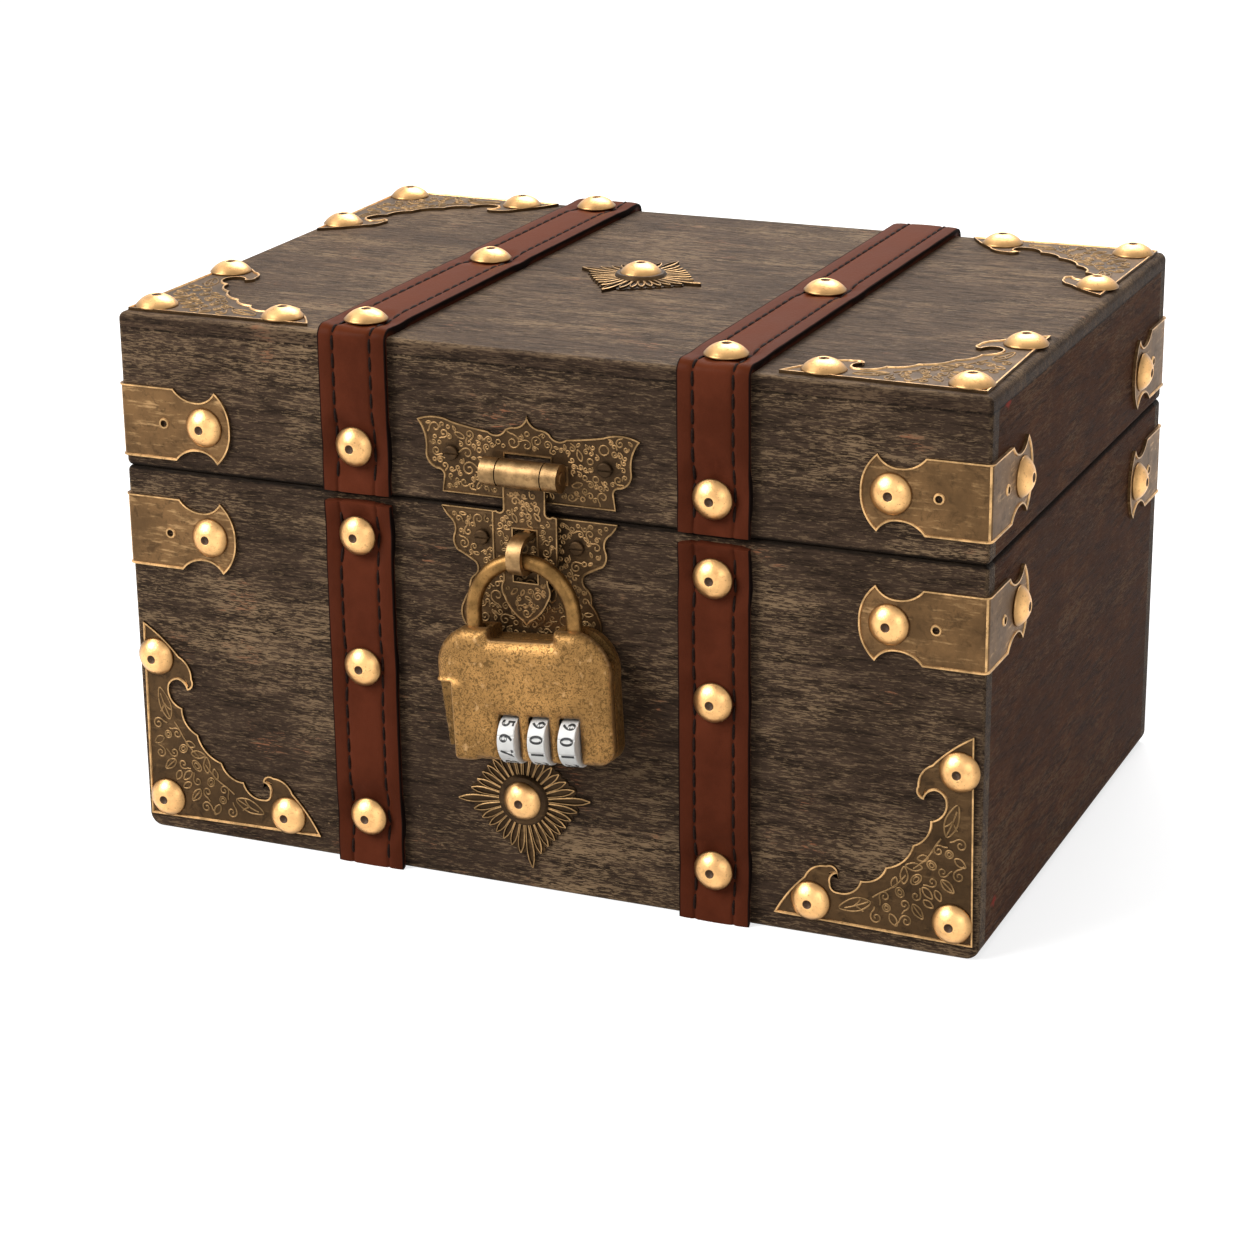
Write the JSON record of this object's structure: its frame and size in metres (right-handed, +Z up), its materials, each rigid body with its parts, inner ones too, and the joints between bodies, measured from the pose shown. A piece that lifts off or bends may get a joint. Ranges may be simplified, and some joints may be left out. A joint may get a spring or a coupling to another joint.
{
  "type": "treasure chest",
  "caption": "Small wooden treasure chest with a hinged lid, stitched leather straps, stamped brass corner fittings, dome nails and a butterfly hasp closed by a hanging combination padlock.",
  "frame": {"origin": "middle of the flat underside of the box", "axes": "+X along the width towards the viewer's right of the front, +Z up, the front with the padlock faces -Y"},
  "size_m": [0.237, 0.1768, 0.1452],
  "materials": {
    "dark_wood": "satin, worn",
    "strap_leather": "smooth, stitched",
    "nail_brass": "satin",
    "stamped_brass": "antiqued",
    "antique_brass": "antiqued, embossed",
    "padlock_bronze": "mottled antique",
    "dial_white": "satin with dark figures",
    "steel": "satin",
    "screw_steel": "dark"
  },
  "bodies": {
    "base": {"base_back_board": "dark_wood", "base_bottom_board": "dark_wood", "base_bracket_back_left": "stamped_brass", "base_bracket_back_right": "stamped_brass", "base_bracket_front_left": "stamped_brass", "base_bracket_front_right": "stamped_brass", "base_corner_plate_left": "stamped_brass", "base_corner_plate_right": "stamped_brass", "base_dome_nails": "nail_brass", "base_front_board": "dark_wood", "base_left_board": "dark_wood", "base_right_board": "dark_wood", "base_screws": "screw_steel", "base_star": "stamped_brass", "base_strap_back_left": "strap_leather", "base_strap_back_right": "strap_leather", "base_strap_front_left": "strap_leather", "base_strap_front_right": "strap_leather", "hasp_lower_plate": "antique_brass", "hinge_base_leaf_left": "antique_brass", "hinge_base_leaf_right": "antique_brass", "hinge_pins": "steel", "staple": "antique_brass"},
    "lid": {"hasp_pin": "steel", "hasp_upper_plate": "antique_brass", "hinge_lid_leaf_left": "antique_brass", "hinge_lid_leaf_right": "antique_brass", "lid_back_rail": "dark_wood", "lid_bracket_back_left": "stamped_brass", "lid_bracket_back_right": "stamped_brass", "lid_bracket_front_left": "stamped_brass", "lid_bracket_front_right": "stamped_brass", "lid_corner_plate_back_left": "stamped_brass", "lid_corner_plate_back_right": "stamped_brass", "lid_corner_plate_front_left": "stamped_brass", "lid_corner_plate_front_right": "stamped_brass", "lid_dome_nails": "nail_brass", "lid_front_rail": "dark_wood", "lid_left_rail": "dark_wood", "lid_right_rail": "dark_wood", "lid_screws": "screw_steel", "lid_star": "stamped_brass", "lid_strap_left": "strap_leather", "lid_strap_right": "strap_leather", "lid_top_board": "dark_wood"},
    "hasp": {"hasp_leaf": "antique_brass"},
    "shackle": {"lock_shackle": "padlock_bronze"},
    "case": {"lock_case_back": "padlock_bronze", "lock_case_front": "padlock_bronze", "lock_dial_axle": "steel", "lock_lever_pin": "steel", "lock_lever_spring": "steel", "lock_pivot_pin": "steel", "lock_rivets": "padlock_bronze"},
    "dial_1": {"lock_dial_1": "dial_white"},
    "dial_2": {"lock_dial_2": "dial_white"},
    "dial_3": {"lock_dial_3": "dial_white"},
    "lever": {"lock_lever": "padlock_bronze"}
  },
  "joints": [
    {"name": "lid_hinge", "type": "hinge", "parent": "base", "child": "lid", "pos_m": [0, 0.0798, 0.099], "axis": [-1, 0, 0], "range_deg": [0, 105]},
    {"name": "hasp_hinge", "type": "hinge", "parent": "lid", "child": "hasp", "pos_m": [-0.0012, -0.0813, 0.1096], "axis": [-1, 0, 0], "range_deg": [0, 165]},
    {"name": "padlock_swing", "type": "hinge", "parent": "base", "child": "shackle", "pos_m": [-0.0012, -0.08375, 0.08855], "axis": [-1, 0, 0], "range_deg": [0, 100]},
    {"name": "shackle_pivot", "type": "hinge", "parent": "shackle", "child": "case", "pos_m": [0.01381, -0.08519, 0.06794], "axis": [0, -0.9976, 0.0698], "range_deg": [0, 45]},
    {"name": "dial_1_turn", "type": "hinge", "parent": "case", "child": "dial_1", "pos_m": [-0.00193, -0.08686, 0.04406], "axis": [0.9968, 0.0056, 0.08], "continuous": true},
    {"name": "dial_2_turn", "type": "hinge", "parent": "case", "child": "dial_2", "pos_m": [0.00615, -0.08682, 0.0447], "axis": [0.9968, 0.0056, 0.08], "continuous": true},
    {"name": "dial_3_turn", "type": "hinge", "parent": "case", "child": "dial_3", "pos_m": [0.01422, -0.08677, 0.04535], "axis": [0.9968, 0.0056, 0.08], "continuous": true},
    {"name": "lever_press", "type": "hinge", "parent": "case", "child": "lever", "pos_m": [-0.01588, -0.08581, 0.05915], "axis": [0, -0.9976, 0.0698], "range_deg": [0, 7], "stiffness_Nm_per_rad": 0.05, "springref_deg": -2.86}
  ]
}
